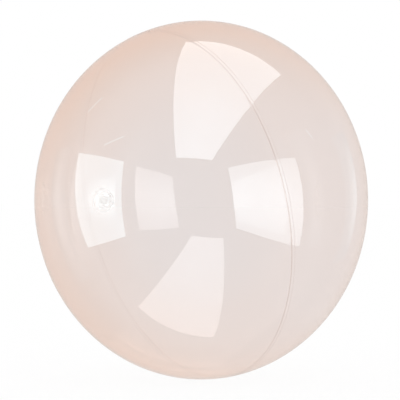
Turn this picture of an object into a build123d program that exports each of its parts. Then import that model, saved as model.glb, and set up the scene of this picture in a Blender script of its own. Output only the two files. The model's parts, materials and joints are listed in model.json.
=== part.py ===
from build123d import *
import math
import os

# Inflatable ball of clear tinted film, made from two panels with one lap weld.
# Millimetres, +Z up, origin at the centre of the blown-up ball.

# The blown-up ball is a little taller than it is wide.
ball_width = 400.0
ball_height = 430.0
film = 0.25                    # thickness of the film

# The weld lies in one flat plane that leans and misses the centre of the ball.
# Its normal is turned from -Y towards -X, and dips below level.
seam_turn = 51.7
seam_dip = 12.3
seam_offset = 36.0             # how far the plane stands from the centre
lap_width = 4.0                # width of the doubled film along the weld

# The push-in valve sits on the equator, turned from +Y towards -X.
valve_turn = 40.3
valve_hole_radius = 12.0       # hole in the film
hole_depth = 20.0              # how far the cuts around the valve reach each way

flange_radius = 16.0
flange_bore = 11.0
flange_wall = 0.8

stem_radius = 4.7
stem_bore = 3.0
stem_top = -0.9                # mouth of the stem, below the film's outer face
stem_bottom = -16.0
foot_radius = 6.5              # collar at the stem's inner end
foot_height = 1.4
mouth_chamfer = 0.35

boot_wall = 0.6                # thin skirt between the flange and the foot
boot_top = -0.65
boot_knee_radius = 9.7
boot_knee_depth = -13.4
boot_inner_depth = -15.5
boot_knee_round = 1.8

ring_radius = 5.8              # tether ring around the stem
ring_height = 1.8
ring_top = -2.6
ring_lug_reach = 6.2

plug_clearance = 0.05          # radial running clearance of the shank in the bore
plug_shank_length = 7.0
plug_shank_taper = 0.5
head_radius = 5.6
head_height = 1.6
head_round = 0.4
lug_reach = 6.6                # how far the head's tether lug reaches from the axis
ear_reach = 8.6                # how far the pull ear reaches from the axis
ear_width = 4.4
ear_height = 0.9

strap_width = 2.6
strap_wall = 0.8
strap_inner_leg = 7.1          # distance of the loop's two legs from the axis
strap_outer_leg = 8.8
strap_dip = -9.0               # bottom of the loop
strap_round = 0.82             # radius of the loop's corners

flap_radius = 4.2
flap_wall = 0.35
flap_hinge_reach = 5.6         # the flap hinges this far above the valve's axis
flap_width = 3.4               # width of the flap's hinge strip

face_gap = 0.03                # between pieces that only touch


def direction(angle_about_z, dip):
    """Unit vector at an angle about Z from +X, dipping below level; both in degrees."""
    level = math.cos(math.radians(dip))
    turn = math.radians(angle_about_z)
    return Vector(level * math.cos(turn), level * math.sin(turn), -math.sin(math.radians(dip)))


seam_normal = direction(-90 - seam_turn, seam_dip)
valve_axis = direction(90 + valve_turn, 0)
seam_plane = Plane(origin=seam_normal * seam_offset, z_dir=seam_normal)
valve_plane = Plane(origin=valve_axis * (ball_width / 2), x_dir=(0, 0, 1), z_dir=valve_axis)


def egg(depth):
    """Solid ball whose surface lies depth below the outer face of the film."""
    half_width = ball_width / 2 - depth
    half_height = ball_height / 2 - depth
    outline = EllipticalCenterArc((0, 0), half_width, half_height, start_angle=-90, arc_size=180)
    half = make_face([outline, Line((0, -half_height), (0, half_height))])
    return revolve(Plane.XZ * half, Axis.Z)


def wall(top, bottom):
    """Closed skin between two depths below the outer face."""
    return egg(top) - egg(bottom)


def seam_slab(low, high):
    """Everything between two distances from the seam plane, along its normal."""
    span = 2 * ball_height
    slab = Box(span, span, high - low, align=(Align.CENTER, Align.CENTER, Align.MIN))
    return seam_plane * Pos(0, 0, low) * slab


def valve_tube(outer, inner, low, high):
    """Tube, or a plain rod when inner is 0, along the valve's own Z."""
    on_low = (Align.CENTER, Align.CENTER, Align.MIN)
    tube = Cylinder(outer, high - low, align=on_low)
    if inner > 0:
        tube -= Cylinder(inner, high - low, align=on_low)
    return Pos(0, 0, low) * tube


def turned(points):
    """Solid of revolution about the valve's Z from a list of (radius, height) points."""
    outline = make_face(Polyline(*points, close=True))
    return revolve(Plane.XZ * outline, Axis.Z)


def front_panel():
    """The smaller half of the skin, with a lip that tucks under the rear panel."""
    outside = (egg(0) & seam_slab(0, ball_height)) + (egg(film) & seam_slab(-lap_width, 0))
    half_lap = lap_width / 2
    inside = egg(film) & seam_slab(half_lap, ball_height)
    inside += egg(2 * film) & seam_slab(-ball_height, half_lap)
    return outside - inside


def rear_panel():
    """The larger half, welded onto the front panel's lip, with a hole for the valve."""
    hole = valve_plane * valve_tube(valve_hole_radius, 0, -hole_depth, hole_depth)
    return (wall(0, film) & seam_slab(-ball_height, 0)) - hole


def valve_flange():
    """Ring welded to the inside of the film around the hole, curved like the film."""
    band = valve_plane * valve_tube(flange_radius, flange_bore, -hole_depth, hole_depth)
    return wall(film, film + flange_wall) & band


def valve_boot():
    """Thin skirt that turns inside out when the stem is pulled out."""
    top, knee, end = boot_top, boot_knee_depth, boot_inner_depth
    outer = [(flange_bore, top), (flange_bore, top - boot_wall), (boot_knee_radius, knee - boot_wall)]
    inner = [(boot_knee_radius - boot_wall, knee), (flange_bore - boot_wall, top)]
    skirt = turned(outer + [(foot_radius, end), (foot_radius, end + boot_wall)] + inner)
    knees = [e for e in skirt.edges().filter_by(GeomType.CIRCLE)
             if abs(e.radius - boot_knee_radius) < 0.7 and e.center().Z < knee / 2]
    return fillet(knees, boot_knee_round)


def valve_stem():
    """Tube with a foot at its inner end and a bevelled mouth."""
    tube = valve_tube(stem_radius, stem_bore, stem_bottom, stem_top)
    foot = valve_tube(foot_radius, stem_bore, stem_bottom, stem_bottom + foot_height)
    stem = tube + foot
    rim = [e for e in stem.edges().filter_by(GeomType.CIRCLE)
           if abs(e.center().Z - stem_top) < 0.01]
    return chamfer(rim, mouth_chamfer)


def tether_ring():
    """Ring gripped around the stem, with a flat lug that carries the strap."""
    low = ring_top - ring_height
    ring = valve_tube(ring_radius, stem_radius, low, ring_top)
    lug_box = Box(ring_lug_reach - stem_radius, strap_width, ring_height, align=(Align.MAX, Align.CENTER, Align.MIN))
    lug = Pos(-stem_radius, 0, low) * lug_box
    return ring + (lug - valve_tube(stem_radius, 0, low, ring_top))


def plug_strap():
    """Flat strap folded in a loop: down from the tether ring, then up to the plug's lug."""
    low = ring_top - ring_height / 2
    high = stem_top + face_gap + head_height / 2
    inner_leg = [(-strap_inner_leg, low), (-strap_inner_leg, strap_dip)]
    outer_leg = [(-strap_outer_leg, strap_dip), (-strap_outer_leg, high)]
    ends = [(-ring_lug_reach, low), (-lug_reach - face_gap, high)]
    path = FilletPolyline(ends[0], *inner_leg, *outer_leg, ends[1], radius=strap_round)
    section = Plane(origin=(-ring_lug_reach, 0, low), x_dir=(0, 1, 0), z_dir=(-1, 0, 0))
    return sweep(section * Rectangle(strap_width, strap_wall), path=Plane.XZ * path)


def valve_plug():
    """Stopper with a domed head, a shank, a tether lug below and a pull ear above."""
    seat = stem_top + face_gap
    shank = valve_tube(stem_bore - plug_clearance, 0, seat - plug_shank_length, seat)
    tip = [e for e in shank.edges().filter_by(GeomType.CIRCLE) if e.center().Z < seat - 1]
    shank = chamfer(tip, plug_shank_taper)
    head = valve_tube(head_radius, 0, seat, seat + head_height)
    head = fillet(head.edges().filter_by(GeomType.CIRCLE).sort_by(Axis.Z)[-1], head_round)
    lug = Box(lug_reach, strap_width, strap_wall, align=(Align.MAX, Align.CENTER, Align.CENTER))
    ear = Box(ear_reach, ear_width, ear_height, align=(Align.MIN, Align.CENTER, Align.CENTER))
    ear = fillet(ear.edges().filter_by(Axis.Z).sort_by(Axis.X)[-2:], ear_width / 2.5)
    middle = Pos(0, 0, seat + head_height / 2)
    return shank + head + middle * lug + middle * ear


def check_flap():
    """Thin disc over the stem's inner end, with a strip up to its hinge line."""
    top = stem_bottom - face_gap
    disc = valve_tube(flap_radius, 0, top - flap_wall, top)
    strip = Box(flap_hinge_reach, flap_width, flap_wall, align=(Align.MIN, Align.CENTER, Align.MAX))
    return disc + Pos(0, 0, top) * strip


def export_all():
    """Write one file for each piece; the valve's moving pieces are placed on its axis."""
    on_valve = [valve_boot, valve_stem, tether_ring, plug_strap, valve_plug, check_flap]
    os.makedirs("parts", exist_ok=True)
    for piece in [front_panel, rear_panel, valve_flange]:
        export_step(piece(), f"parts/{piece.__name__}.step")
    for piece in on_valve:
        export_step(valve_plane * piece(), f"parts/{piece.__name__}.step")


export_all()
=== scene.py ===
import bpy
import json
import math
import numpy as np
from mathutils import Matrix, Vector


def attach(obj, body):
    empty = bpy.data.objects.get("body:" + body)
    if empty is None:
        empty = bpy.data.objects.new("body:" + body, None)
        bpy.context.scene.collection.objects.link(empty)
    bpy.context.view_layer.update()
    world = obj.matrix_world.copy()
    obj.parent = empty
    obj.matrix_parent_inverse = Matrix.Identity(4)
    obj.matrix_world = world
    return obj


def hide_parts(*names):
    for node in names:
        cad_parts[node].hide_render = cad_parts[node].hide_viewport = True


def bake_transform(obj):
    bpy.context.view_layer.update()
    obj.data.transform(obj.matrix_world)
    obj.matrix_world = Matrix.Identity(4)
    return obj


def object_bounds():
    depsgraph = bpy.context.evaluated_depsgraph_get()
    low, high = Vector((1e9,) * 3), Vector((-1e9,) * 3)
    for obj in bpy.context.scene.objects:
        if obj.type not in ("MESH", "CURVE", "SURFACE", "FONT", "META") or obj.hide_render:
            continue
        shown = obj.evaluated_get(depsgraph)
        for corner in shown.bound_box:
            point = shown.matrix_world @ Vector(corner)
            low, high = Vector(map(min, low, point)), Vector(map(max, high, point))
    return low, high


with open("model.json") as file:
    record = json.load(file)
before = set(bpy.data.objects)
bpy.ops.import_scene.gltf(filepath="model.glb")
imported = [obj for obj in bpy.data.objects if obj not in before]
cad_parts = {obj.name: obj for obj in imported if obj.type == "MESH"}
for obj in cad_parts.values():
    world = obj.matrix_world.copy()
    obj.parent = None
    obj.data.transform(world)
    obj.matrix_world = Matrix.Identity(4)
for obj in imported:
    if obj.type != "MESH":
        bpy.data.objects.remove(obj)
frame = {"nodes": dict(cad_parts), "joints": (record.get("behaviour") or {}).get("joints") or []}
cad_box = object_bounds()
MM = 0.001

# The ball: an egg of revolution about Z, centred on the origin.
low_corner, high_corner = (np.array(corner) for corner in cad_box)
HALF_WIDTH = (high_corner[0] - low_corner[0]) / 2
HALF_HEIGHT = (high_corner[2] - low_corner[2]) / 2
AXES = np.array([HALF_WIDTH, HALF_WIDTH, HALF_HEIGHT])
FILM = 0.25 * MM

# The weld's plane leans and misses the centre; its normal points at the front panel.
SEAM_TURN, SEAM_DIP, SEAM_OFFSET = math.radians(51.7), math.radians(12.3), 36 * MM
SEAM_NORMAL = np.array([-math.sin(SEAM_TURN) * math.cos(SEAM_DIP),
                        -math.cos(SEAM_TURN) * math.cos(SEAM_DIP),
                        -math.sin(SEAM_DIP)])

# Three hair creases left by folding, each from end to end, in mm.
CREASES = (((-127.0, -124.1, 99.0), (-111.1, -127.8, 114.4)),
           ((-106.1, -159.9, 60.6), (-84.6, -169.3, 69.5)),
           ((116.1, -146.0, 77.7), (123.4, -143.7, 69.0)))

# The valve's own directions: out of the ball, up, and across.
JOINTS = {joint["name"]: joint for joint in frame["joints"]}
OUT = np.array(JOINTS["stem_slide"]["axis"], dtype=float)
UP = np.array([0.0, 0.0, 1.0])
ACROSS = np.cross(OUT, UP)
HOLE_RADIUS = 12 * MM


# ---------------------------------------------------------------- meshes

def rows_to_faces(rows, columns, closed_rows=False):
    """Quads of a grid that is closed around its columns, and around its rows if asked."""
    row_count = rows if closed_rows else rows - 1
    i, j = np.meshgrid(np.arange(row_count), np.arange(columns), indexing="ij")
    right, above = (j + 1) % columns, (i + 1) % rows
    corners = [i * columns + j, i * columns + right, above * columns + right, above * columns + j]
    return np.stack([corner.ravel() for corner in corners], axis=1)


def new_piece(name, points, faces, material, caps=(), flat=()):
    """Smooth mesh object from an array of points, quads, and any caps as lists of vertices.
    The quads numbered in flat keep their own flat normals."""
    mesh = bpy.data.meshes.new(name)
    mesh.from_pydata(points.reshape(-1, 3).tolist(), [], faces.tolist() + [list(cap) for cap in caps])
    smooth = np.ones(len(mesh.polygons), dtype=bool)
    smooth[list(flat)] = False
    mesh.polygons.foreach_set("use_smooth", smooth)
    mesh.materials.append(material)
    mesh.update()
    piece = bpy.data.objects.new(name, mesh)
    bpy.context.collection.objects.link(piece)
    return piece


def circle_rows(centres, radii, columns):
    """Rows of unit vectors: row k is the circle at angular radius radii[k] about centres[k].
    Each point is the centre times the cosine of the radius, plus a turning square vector
    times its sine. radii may be one number a row, or one number a point."""
    turn = np.linspace(0, 2 * np.pi, columns, endpoint=False)
    side = np.cross(centres, [0.0, 0.0, 1.0])
    side = side / np.linalg.norm(side, axis=1, keepdims=True)
    top = np.cross(centres, side)
    around = np.cos(turn)[None, :, None] * side[:, None] + np.sin(turn)[None, :, None] * top[:, None]
    radii = np.broadcast_to(radii.reshape(len(centres), -1), (len(centres), columns))
    return centres[:, None] * np.cos(radii)[..., None] + around * np.sin(radii)[..., None]


def film_points(directions, depth):
    """Points of the egg under unit vectors: each coordinate times its half axis, moved
    inwards along the surface's normal by the depth given for each row or each point."""
    outer = directions * AXES
    normals = directions / AXES
    normals = normals / np.linalg.norm(normals, axis=2, keepdims=True)
    return outer - normals * depth.reshape(len(directions), -1)[..., None]


def film_shell(name, directions, outer_depth, inner_depth, material, pole=False):
    """Closed film: the outer face's rows, then the inner face's rows in reverse. The last row's
    cut edge is a flat ring; the first row is joined by another, or capped where it is a pole."""
    outer = film_points(directions, outer_depth)
    inner = film_points(directions, inner_depth)[::-1]
    points = np.concatenate([outer, inner])
    rows, columns = points.shape[:2]
    faces = rows_to_faces(rows, columns, closed_rows=not pole)
    far_edge = range((rows // 2 - 1) * columns, rows // 2 * columns)
    near_edge = range((rows - 1) * columns, rows * columns)
    if pole:
        caps = [range(columns)[::-1], near_edge]
        return new_piece(name, points, faces, material, caps, far_edge)
    return new_piece(name, points, faces, material, (), [*far_edge, *near_edge])


# In the unit ball that the egg is stretched from, the weld is a circle about SEAM_POLE.
SEAM_POLE = AXES * SEAM_NORMAL
SEAM_ANGLE = math.acos(SEAM_OFFSET / np.linalg.norm(SEAM_POLE))
SEAM_POLE = SEAM_POLE / np.linalg.norm(SEAM_POLE)

# Profile across the weld: distance towards the front panel, outer depth, inner depth, in mm.
WELD = np.array([(9.0, 0.0, 0.25), (6.0, 0.0, 0.25), (3.6, 0.0, 0.25), (2.2, 0.0, 0.27), (1.2, 0.005, 0.34),
                 (0.75, 0.0, 0.42), (0.5, -0.04, 0.47), (0.25, -0.1, 0.49), (0.0, -0.125, 0.5),
                 (-0.25, -0.1, 0.5), (-0.5, -0.04, 0.5), (-0.75, 0.0, 0.5), (-1.4, 0.005, 0.5),
                 (-2.4, 0.005, 0.5), (-3.2, 0.0, 0.5), (-3.6, -0.01, 0.5), (-3.8, -0.012, 0.5),
                 (-3.95, -0.005, 0.5), (-4.0, 0.0, 0.5)])
EDGE_GAP = 0.05 * MM
PUCKER_HEIGHT, PUCKER_REACH = 0.025 * MM, 9 * MM

# The weld fades between two places along Y, given in half widths, to a share of its fullness.
FULL_AT, FADED_AT, REAR_FULLNESS = -0.15, 0.35, 0.25


def puckers(distance, columns):
    """Faint gathers across the weld: a sum of two sines around it, of 76 and 121 waves, that
    dies away as a bell curve with distance from the weld."""
    turn = np.linspace(0, 2 * np.pi, columns, endpoint=False)
    wave = 0.6 * np.sin(76 * turn) + 0.4 * np.sin(121 * turn + 1.3)
    return PUCKER_HEIGHT * np.exp(-(distance / PUCKER_REACH) ** 2)[:, None] * wave[None]


def fullness(directions):
    """How full the weld stands round the ball: 1 where it faces forwards, REAR_FULLNESS behind,
    with a smooth step through the sides."""
    share = np.clip((FADED_AT - directions[..., 1]) / (FADED_AT - FULL_AT), 0, 1)
    return REAR_FULLNESS + (1 - REAR_FULLNESS) * share ** 2 * (3 - 2 * share)


def make_front_panel(material):
    """Cap about SEAM_POLE that ends in the weld's doubled band. Row angles are even up to the
    weld and then follow the weld's profile. The first row is a pinhead that the pole's cap closes."""
    rows, columns = 72, 512
    pinhead = 0.0005
    weld_angles = SEAM_ANGLE - WELD[:, 0] * MM / HALF_WIDTH
    plain_angles = np.linspace(pinhead, weld_angles[0], rows, endpoint=False)
    angles = np.concatenate([plain_angles, weld_angles])
    gather = puckers((SEAM_ANGLE - angles) * HALF_WIDTH, columns)
    centres = np.tile(SEAM_POLE, (len(angles), 1))
    directions = circle_rows(centres, angles, columns)
    outer = np.concatenate([np.zeros(rows), WELD[:, 1] * MM])[:, None] * fullness(directions) + gather
    inner = np.concatenate([np.full(rows, FILM), WELD[:, 2] * MM])[:, None] + gather
    return film_shell("front_film", directions, outer, inner, material, pole=True)


def make_rear_panel(material):
    """Band between the valve's hole and the weld. Row k is a circle whose centre slides evenly
    from the valve's axis to the rear pole while its radius grows evenly; the rows crowd at
    both edges."""
    rows, columns = 150, 256
    share = np.concatenate([[0, 0.0004, 0.002], np.linspace(0.006, 0.994, rows), [0.998, 0.9996, 1]])
    rear_pole = -SEAM_POLE
    gap = math.acos(float(OUT @ rear_pole))
    centres = np.sin((1 - share) * gap)[:, None] * OUT + np.sin(share * gap)[:, None] * rear_pole
    centres = centres / math.sin(gap)
    turn = np.linspace(0, 2 * np.pi, columns, endpoint=False)
    hole = np.hypot(np.cos(turn) * HOLE_RADIUS / HALF_WIDTH, np.sin(turn) * HOLE_RADIUS / HALF_HEIGHT)
    far_edge = math.pi - SEAM_ANGLE - (-WELD[-1, 0] * MM + EDGE_GAP) / HALF_WIDTH
    radii = (1 - share)[:, None] * hole[None] + share[:, None] * far_edge
    directions = circle_rows(centres, radii, columns)
    return film_shell("rear_film", directions, np.zeros(len(share)), np.full(len(share), FILM), material)


def valve_points(radius, height, turn):
    """Points around the valve's axis: radius and height arrays, turned about the axis."""
    base = OUT * HALF_WIDTH
    ring = np.cos(turn)[:, None] * UP + np.sin(turn)[:, None] * ACROSS
    return base + ring[None] * radius[:, None, None] + OUT * height[:, None, None]


def path_normals(path):
    """Unit normals of a flat path: its direction at each point, turned a quarter."""
    tangent = np.gradient(path, axis=0)
    tangent = tangent / np.linalg.norm(tangent, axis=1, keepdims=True)
    return np.stack([tangent[:, 1], -tangent[:, 0]], axis=1)


def make_boot(material):
    """Skirt between flange and stem: a centre line of (radius, height) points, smoothed by
    a running average, thickened both ways along its normal and spun about the axis."""
    line = np.array([(11.0, -0.95), (10.9, -1.6), (10.5, -3.5), (10.2, -6.0), (9.9, -9.0), (9.5, -11.8),
                     (8.9, -13.8), (7.9, -14.9), (6.9, -15.3), (6.5, -15.3)]) * MM
    along = np.concatenate([[0], np.cumsum(np.hypot(*np.diff(line, axis=0).T))])
    even = np.linspace(0, along[-1], 60)
    path = np.stack([np.interp(even, along, line[:, k]) for k in range(2)], axis=1)
    reach = 3
    weights = np.ones(2 * reach + 1) / (2 * reach + 1)
    padded = np.pad(path, ((reach, reach), (0, 0)), mode="edge")
    path = np.stack([np.convolve(padded[:, k], weights, mode="valid") for k in range(2)], axis=1)
    normal = path_normals(path)
    half_wall, ripple_height = 0.3 * MM, 0.06 * MM
    ripple = ripple_height * np.sin(np.linspace(0, 9 * np.pi, len(path)))
    outer = path + normal * (half_wall + ripple)[:, None]
    inner = path - normal * (half_wall - ripple)[:, None]
    profile = np.concatenate([outer, inner[::-1]])
    turn = np.linspace(0, 2 * np.pi, 96, endpoint=False)
    points = valve_points(profile[:, 0], profile[:, 1], turn)
    return new_piece("boot_skirt", points, rows_to_faces(*points.shape[:2], closed_rows=True), material)


def arc_route(corners, radius, steps):
    """Corner points joined by straight runs and arcs of one radius."""
    route = [corners[0]]
    for before, corner, after in zip(corners[:-2], corners[1:-1], corners[2:]):
        to_before = (before - corner) / np.linalg.norm(before - corner)
        to_after = (after - corner) / np.linalg.norm(after - corner)
        half = math.acos(np.clip(to_before @ to_after, -1, 1)) / 2
        reach = radius / math.tan(half)
        inwards = (to_before + to_after) / np.linalg.norm(to_before + to_after)
        centre = corner + inwards * radius / math.sin(half)
        share = np.linspace(0, 1, steps)[:, None]
        chord = (1 - share) * (corner + to_before * reach) + share * (corner + to_after * reach)
        spoke = chord - centre
        route += list(centre + spoke / np.linalg.norm(spoke, axis=1, keepdims=True) * radius)
    return np.array(route + [corners[-1]])


def make_strap(material):
    """Flat section with rounded edges, a superellipse, carried along the strap's loop below the
    stem. The corners are the loop's (radius, height) points."""
    corners = np.array([(6.2, -3.5), (7.1, -3.5), (7.1, -9.0), (8.8, -9.0), (8.8, -0.07), (6.57, -0.07)]) * MM
    bend = 0.82 * MM
    path = arc_route(corners, bend, 9)
    normal = path_normals(path)
    turn = np.linspace(0, 2 * np.pi, 24, endpoint=False)
    half_breadth, half_depth, power = 1.3 * MM, 0.4 * MM, 0.45
    wide = half_breadth * np.sign(np.cos(turn)) * np.abs(np.cos(turn)) ** power
    thick = half_depth * np.sign(np.sin(turn)) * np.abs(np.sin(turn)) ** power
    reach = path[:, None, 0] + normal[:, None, 0] * thick[None]
    height = path[:, None, 1] + normal[:, None, 1] * thick[None]
    points = (OUT * HALF_WIDTH - UP * reach[..., None] + OUT * height[..., None]
              + ACROSS * np.broadcast_to(wide, reach.shape)[..., None])
    rows, columns = points.shape[:2]
    caps = [range(columns), range((rows - 1) * columns, rows * columns)[::-1]]
    return new_piece("strap_loop", points, rows_to_faces(rows, columns), material, caps)


# ---------------------------------------------------------------- materials

def new_material(name):
    """Empty node material; returned with its node tree and its output node."""
    material = bpy.data.materials.new(name)
    material.use_nodes = True
    material.node_tree.nodes.clear()
    output = material.node_tree.nodes.new("ShaderNodeOutputMaterial")
    return material, material.node_tree, output


def add(tree, kind, inputs=(), **settings):
    """New node with its settings, and each given input linked to a socket or set to a value."""
    node = tree.nodes.new(kind)
    for key, value in settings.items():
        setattr(node, key, value)
    for key, value in dict(inputs).items():
        if isinstance(value, bpy.types.NodeSocket):
            tree.links.new(value, node.inputs[key])
        else:
            node.inputs[key].default_value = value
    return node


def math_node(tree, operation, first, second=0.0, clamp=False):
    """Output of one Math node; its result is kept between 0 and 1 if clamp is set."""
    return add(tree, "ShaderNodeMath", {0: first, 1: second}, operation=operation, use_clamp=clamp).outputs[0]


def ramp(tree, value, start, end, low=0.0, high=1.0, smooth=True):
    """Value carried from low to high between start and end, without overshoot."""
    limits = {"Value": value, "From Min": start, "From Max": end, "To Min": low, "To Max": high}
    kind = "SMOOTHSTEP" if smooth else "LINEAR"
    return add(tree, "ShaderNodeMapRange", limits, interpolation_type=kind).outputs["Result"]


def dot(tree, first, second):
    """Output of one dot product."""
    return add(tree, "ShaderNodeVectorMath", {0: first, 1: second}, operation="DOT_PRODUCT").outputs["Value"]


def mix(tree, factor, first, second):
    """Colour carried from first to second by the factor."""
    return add(tree, "ShaderNodeMix", {"Factor": factor, 6: first, 7: second}, data_type="RGBA").outputs[2]


def noise(tree, place, scale, detail):
    """Value of a noise pattern, from 0 to 1."""
    return add(tree, "ShaderNodeTexNoise", {"Vector": place, "Scale": scale, "Detail": detail}).outputs["Fac"]


def film_tint(tree, place, slant):
    """How deep the film's tint is, from 0 to 1: it deepens where the film is met at a slant, and deepens more
    towards the crown, the foot and the left. A faint cloud varies it."""
    both_ends, crown_alone = 0.77 / HALF_HEIGHT, 0.23 / HALF_HEIGHT
    left_side, slant_power, cloud_share = -0.5 / HALF_WIDTH, 1.6, 0.06
    axes = add(tree, "ShaderNodeSeparateXYZ", {0: place}).outputs
    ends = math_node(tree, "MULTIPLY", math_node(tree, "ABSOLUTE", axes["Z"]), both_ends)
    ends = math_node(tree, "ADD", ends, math_node(tree, "MULTIPLY", axes["Z"], crown_alone))
    # Weight of the tint by place: deeper towards the crown, the foot and the left.
    thick = math_node(tree, "ADD", ends, math_node(tree, "MULTIPLY", axes["X"], left_side), True)
    deep = math_node(tree, "MULTIPLY", math_node(tree, "POWER", slant, slant_power), thick)
    soft = ramp(tree, slant, 0.0, 0.2, 0.0, 0.08, smooth=False)
    patchy = ramp(tree, noise(tree, place, 5.0, 3.0), 0.0, 1.0, -cloud_share, cloud_share, smooth=False)
    return math_node(tree, "ADD", math_node(tree, "ADD", deep, soft), patchy, True)


def weld_lines(tree, place):
    """Mask that is 1 on the weld's outer edge and fainter on its inner one, and as full round
    the ball as the weld itself."""
    distance = math_node(tree, "SUBTRACT", dot(tree, place, tuple(SEAM_NORMAL)), SEAM_OFFSET)
    masks = []
    for edge, half_width, strength in ((0.0, 1.0 * MM, 1.0), (WELD[-1, 0] * MM, 0.7 * MM, 0.22)):
        off = math_node(tree, "ABSOLUTE", math_node(tree, "SUBTRACT", distance, edge))
        masks.append(ramp(tree, off, 0.0, half_width, strength, 0.0))
    depth = add(tree, "ShaderNodeSeparateXYZ", {0: place}).outputs["Y"]
    full = ramp(tree, depth, FULL_AT * HALF_WIDTH, FADED_AT * HALF_WIDTH, 1.0, REAR_FULLNESS)
    return math_node(tree, "MULTIPLY", math_node(tree, "MAXIMUM", *masks), full)


def crease_highlights(tree, place):
    """Mask of painted highlights along three short hair creases: 1 along each, fading over its half width;
    where it is 1 the film's tint is lifted to clear. Each is the distance from its segment, found by sliding
    to the nearest point along it."""
    half_width = 1.3 * MM
    masks = []
    for start, end in CREASES:
        start, run = np.array(start) * MM, (np.array(end) - np.array(start)) * MM
        away = add(tree, "ShaderNodeVectorMath", {0: place, 1: tuple(start)}, operation="SUBTRACT").outputs[0]
        share = math_node(tree, "MULTIPLY", dot(tree, away, tuple(run / (run @ run))), 1.0, True)
        near = add(tree, "ShaderNodeVectorMath", {0: tuple(run)}, operation="SCALE")
        tree.links.new(share, near.inputs["Scale"])
        off = add(tree, "ShaderNodeVectorMath", {0: away, 1: near.outputs[0]}, operation="DISTANCE")
        masks.append(ramp(tree, off.outputs["Value"], 0.0, half_width, 1.0, 0.0))
    return math_node(tree, "MAXIMUM", math_node(tree, "MAXIMUM", masks[0], masks[1]), masks[2])


SQUARE_ON_MIRROR = 0.04   # share of light that clear vinyl reflects where it is met square on
CLEAR = (1.0, 1.0, 1.0, 1.0)


def film_material(name, tint, edge_tint, weld_tint, warm_shine):
    """Clear glossy film: sees through with a tint that deepens at a slant, and reflects like a
    thin clear plastic wall, by how steeply it is met; the tint also warms slanting reflections."""
    material, tree, output = new_material(name)
    place = add(tree, "ShaderNodeTexCoord").outputs["Object"]
    slant = add(tree, "ShaderNodeLayerWeight", {"Blend": 0.5}).outputs["Facing"]
    mirror = math_node(tree, "MULTIPLY_ADD", math_node(tree, "POWER", slant, 5.0), 1 - SQUARE_ON_MIRROR)
    mirror.node.inputs[2].default_value = SQUARE_ON_MIRROR
    colour = mix(tree, film_tint(tree, place, slant), tint, edge_tint)
    colour = mix(tree, weld_lines(tree, place), colour, weld_tint)
    # Painted highlights: the film's tint is lifted to clear along the three creases.
    colour = mix(tree, crease_highlights(tree, place), colour, CLEAR)
    shine_colour = mix(tree, ramp(tree, slant, 0.35, 0.95), CLEAR, warm_shine)
    see = add(tree, "ShaderNodeBsdfTransparent", {"Color": colour})
    rough = ramp(tree, noise(tree, place, 40.0, 4.0), 0.35, 0.75, 0.008, 0.02)
    shine = add(tree, "ShaderNodeBsdfGlossy", {"Color": shine_colour, "Roughness": rough})
    mixed = add(tree, "ShaderNodeMixShader", {0: mirror, 1: see.outputs[0], 2: shine.outputs[0]})
    tree.links.new(mixed.outputs[0], output.inputs["Surface"])
    return material


def moulding_group():
    """Node group of two patterns on moulded vinyl: a fine grain and a soft cloud."""
    group = bpy.data.node_groups.new("moulding", "ShaderNodeTree")
    group.interface.new_socket(name="Place", in_out="INPUT", socket_type="NodeSocketVector")
    for name in ("Grain Scale", "Cloud Scale"):
        group.interface.new_socket(name=name, in_out="INPUT", socket_type="NodeSocketFloat")
    for name in ("Grain", "Cloud"):
        group.interface.new_socket(name=name, in_out="OUTPUT", socket_type="NodeSocketFloat")
    given, result = group.nodes.new("NodeGroupInput"), group.nodes.new("NodeGroupOutput")
    for name in ("Grain", "Cloud"):
        pattern = noise(group, given.outputs["Place"], given.outputs[name + " Scale"], 2.0)
        group.links.new(pattern, result.inputs[name])
    return group


def vinyl_material(name, moulding, colour, faint, solid, roughness):
    """Soft clear vinyl, slightly milky, with a fine moulded grain: faint where it is met square
    on and nearly solid at a slant, where more of it is looked through."""
    material, tree, output = new_material(name)
    place = add(tree, "ShaderNodeTexCoord").outputs["Object"]
    pattern = tree.nodes.new("ShaderNodeGroup")
    pattern.node_tree = moulding
    tree.links.new(place, pattern.inputs["Place"])
    pattern.inputs["Grain Scale"].default_value = 900.0
    pattern.inputs["Cloud Scale"].default_value = 120.0
    bump = add(tree, "ShaderNodeBump",
               {"Height": pattern.outputs["Grain"], "Strength": 0.25, "Distance": 0.0002})
    pale = tuple(min(1.0, channel * 1.03) for channel in colour[:3]) + (1,)
    tone = mix(tree, pattern.outputs["Cloud"], colour, pale)
    slant = add(tree, "ShaderNodeLayerWeight", {"Blend": 0.5}).outputs["Facing"]
    body = add(tree, "ShaderNodeBsdfPrincipled", {
        "Base Color": tone, "Roughness": roughness, "IOR": 1.5,
        "Alpha": ramp(tree, slant, 0.0, 0.9, faint, solid), "Normal": bump.outputs["Normal"]})
    tree.links.new(body.outputs[0], output.inputs["Surface"])
    return material


# ---------------------------------------------------------------- studio

DISTANCE = 9 * HALF_WIDTH   # from the camera to the ball's centre
BALL_SHARE = 0.835   # the ball's width as a share of the picture's
FOCAL_SHARE = BALL_SHARE / 2 * math.sqrt((DISTANCE / HALF_WIDTH) ** 2 - 1)   # focal length over picture width
FLOOR_TONE = 0.9
FLOOR_OWN_LIGHT = 0.92   # share of the floor's look that is its own light
LOUVRE_SOFTNESS = 0.03   # how gently a louvre shuts, as a change of slant


def make_camera():
    """Level camera in front of the ball."""
    data = bpy.data.cameras.new("camera")
    data.sensor_width = 36
    data.lens = FOCAL_SHARE * data.sensor_width
    data.shift_x = -0.003
    camera = bpy.data.objects.new("camera", data)
    camera.location = (0, -DISTANCE, 0)
    camera.rotation_euler = (math.pi / 2, 0, 0)
    bpy.context.collection.objects.link(camera)
    bpy.context.scene.camera = camera


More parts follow.
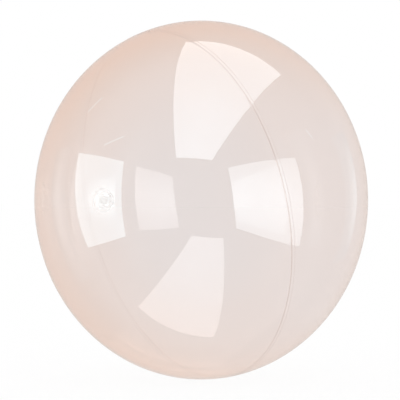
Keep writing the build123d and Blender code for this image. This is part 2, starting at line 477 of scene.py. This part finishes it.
def make_softbox(name, corners, colour, rim, core, middle=(0.5, 0.5), reach=(0.5, 0.5), louvre=None):
    """Four-cornered light panel, seen in reflections only. Points are the corners' bilinear mix.
    Brightness falls from core at middle to rim at reach away, as a smooth bell. A louvre passes
    a share of the light where the panel is met more squarely than its first slant at one side
    and its second slant at the other, and all of it elsewhere."""
    first, second, third, fourth = np.array(corners)
    steps = 33
    across, down = np.meshgrid(np.linspace(0, 1, steps), np.linspace(0, 1, steps))
    points = ((1 - down) * (1 - across))[..., None] * first + ((1 - down) * across)[..., None] * second \
        + (down * across)[..., None] * third + (down * (1 - across))[..., None] * fourth
    spread = np.hypot((across - middle[0]) / reach[0], (down - middle[1]) / reach[1])
    glow = rim + (core - rim) * np.cos(np.clip(spread, 0, 1) * np.pi / 2) ** 2
    material, tree, output = new_material(name)
    power = add(tree, "ShaderNodeAttribute", attribute_name="glow").outputs["Fac"]
    if louvre is not None:
        passed, first_slant, second_slant = louvre
        slant = add(tree, "ShaderNodeLayerWeight", {"Blend": 0.5}).outputs["Facing"]
        limit = add(tree, "ShaderNodeAttribute", attribute_name="limit").outputs["Fac"]
        beyond = math_node(tree, "SUBTRACT", slant, limit)
        power = math_node(tree, "MULTIPLY", power,
                          ramp(tree, beyond, -LOUVRE_SOFTNESS, LOUVRE_SOFTNESS, passed, 1.0))
    lamp = add(tree, "ShaderNodeEmission", {"Color": (*colour, 1), "Strength": power})
    tree.links.new(lamp.outputs[0], output.inputs["Surface"])
    material.cycles.emission_sampling = "NONE"   # found by reflection alone, which leaves no grain
    grid = np.arange(steps * steps).reshape(steps, steps)
    faces = np.stack([grid[:-1, :-1], grid[:-1, 1:], grid[1:, 1:], grid[1:, :-1]], axis=-1).reshape(-1, 4)
    panel = new_piece(name, points, faces, material)
    panel.data.attributes.new("glow", "FLOAT", "POINT").data.foreach_set("value", glow.ravel())
    if louvre is not None:
        limits = first_slant + (second_slant - first_slant) * across
        panel.data.attributes.new("limit", "FLOAT", "POINT").data.foreach_set("value", limits.ravel())
    panel.visible_camera = False
    panel.visible_transmission = False
    panel.visible_diffuse = False
    panel.visible_shadow = False


def make_floor():
    """White floor, mostly its own light so that the clear ball leaves only a trace of shade."""
    size = 40.0
    low = -HALF_HEIGHT
    corners = np.array([(-size, -size, low), (size, -size, low), (size, size, low), (-size, size, low)])
    material, tree, output = new_material("pale_floor")
    matt = add(tree, "ShaderNodeBsdfDiffuse", {"Color": (FLOOR_TONE, FLOOR_TONE, FLOOR_TONE, 1)})
    glow = add(tree, "ShaderNodeEmission", {"Color": (1, 1, 1, 1), "Strength": 1.0})
    mixed = add(tree, "ShaderNodeMixShader", {0: FLOOR_OWN_LIGHT, 1: matt.outputs[0], 2: glow.outputs[0]})
    tree.links.new(mixed.outputs[0], output.inputs["Surface"])
    floor = new_piece("pale_floor", corners, np.array([[0, 1, 2, 3]]), material)
    floor.visible_glossy = False


def make_world():
    """White to look at; as bright to the floor as makes it white too; in reflections, white
    behind the ball and dimmer towards its front."""
    world = bpy.data.worlds.new("studio")
    bpy.context.scene.world = world
    world.use_nodes = True
    tree = world.node_tree
    tree.nodes.clear()
    output = tree.nodes.new("ShaderNodeOutputWorld")
    way = add(tree, "ShaderNodeTexCoord").outputs["Generated"]
    ahead = dot(tree, way, (0, 1, 0))
    back = math_node(tree, "ADD", ramp(tree, ahead, -1.0, 0.3, 0.12, 0.37),
                     ramp(tree, ahead, 0.25, 0.9, 0.0, 0.55))
    path = add(tree, "ShaderNodeLightPath").outputs
    mirrored = math_node(tree, "SUBTRACT", path["Is Glossy Ray"], path["Is Transmission Ray"], True)
    plain = math_node(tree, "MULTIPLY_ADD", path["Is Diffuse Ray"], 1 / FLOOR_TONE - 1)
    plain.node.inputs[2].default_value = 1.0
    level = add(tree, "ShaderNodeMix", {"Factor": mirrored, 2: plain, 3: back}, data_type="FLOAT").outputs[0]
    shade = add(tree, "ShaderNodeBackground", {"Color": (1, 1, 1, 1), "Strength": level})
    tree.links.new(shade.outputs[0], output.inputs["Surface"])


# ---------------------------------------------------------------- the ball

film = film_material("peach_film", tint=(0.974, 0.953, 0.947, 1), edge_tint=(0.972, 0.867, 0.802, 1),
                     weld_tint=(0.905, 0.84, 0.815, 1), warm_shine=(0.96, 0.89, 0.85, 1))
moulded_pattern = moulding_group()
clear_vinyl = vinyl_material("clear_vinyl", moulded_pattern, (0.95, 0.925, 0.91, 1), 0.1, 0.55, 0.2)
stopper_vinyl = vinyl_material("stopper_vinyl", moulded_pattern, (0.94, 0.91, 0.89, 1), 0.2, 0.65, 0.28)

front = make_front_panel(film)
rear = make_rear_panel(film)
for piece, node in ((front, "front_panel"), (rear, "rear_panel")):
    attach(piece, "skin")
    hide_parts(node)

boot = make_boot(clear_vinyl)
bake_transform(boot)
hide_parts("valve_boot")

strap = make_strap(stopper_vinyl)
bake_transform(strap)
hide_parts("plug_strap")

for node, material in (("valve_flange", clear_vinyl), ("valve_stem", clear_vinyl),
                       ("tether_ring", stopper_vinyl), ("valve_plug", stopper_vinyl),
                       ("check_flap", clear_vinyl)):
    for slot in frame["nodes"][node].material_slots:
        slot.material = material

make_camera()
make_floor()
make_world()

# Panels by their four corners, in metres, each going round.
COOL, COOLER = (0.87, 1.0, 1.06), (0.75, 1.0, 1.1)
make_softbox("left_softbox", ((-0.478, -0.094, 0.167), (-0.172, -0.238, 0.08), (-0.124, -0.21, -0.057),
                              (-0.604, -0.16, -0.229)), COOLER, 2.6, 2.8, louvre=(0.33, 0.56, 0.22))
make_softbox("left_core", ((-0.277, -0.155, 0.053), (-0.125, -0.195, 0.037), (-0.125, -0.195, -0.033),
                           (-0.277, -0.155, -0.048)), COOLER, 2.6, 4.2, (0.85, 0.5), (0.85, 0.6),
             louvre=(0.25, 0.3, 0.19))
make_softbox("right_softbox", ((0.625, -1.999, 0.661), (0.428, -0.287, 0.175), (0.453, -0.259, -0.195),
                               (0.808, -1.96, -0.568)), COOL, 1.9, 2.8, (0.7, 0.5), (2.0, 0.6))
make_softbox("top_softbox", ((-0.13, 0.388, 1.195), (0.595, 0.156, 0.836), (1.43, -11.0, 4.64),
                             (-3.3, -10.5, 4.9)), COOL, 2.6, 2.8)
make_softbox("right_strip", ((0.831, 0.173, 0.364), (0.713, 0.439, 0.317), (0.761, 0.392, -0.278),
                             (0.82, 0.211, -0.358)), COOL, 0.6, 1.25, (1.0, 0.5), (1.0, 0.6))
make_softbox("left_strip", ((-0.803, 0.333, 0.255), (-0.863, 0.106, 0.325), (-0.803, -0.055, -0.493),
                            (-0.76, 0.206, -0.479)), COOL, 0.55, 1.0, (0.5, 0.4), (0.5, 0.6))

scene = bpy.context.scene
scene.view_settings.view_transform = "Standard"
scene.cycles.transparent_max_bounces = 48
scene.cycles.use_denoising = True
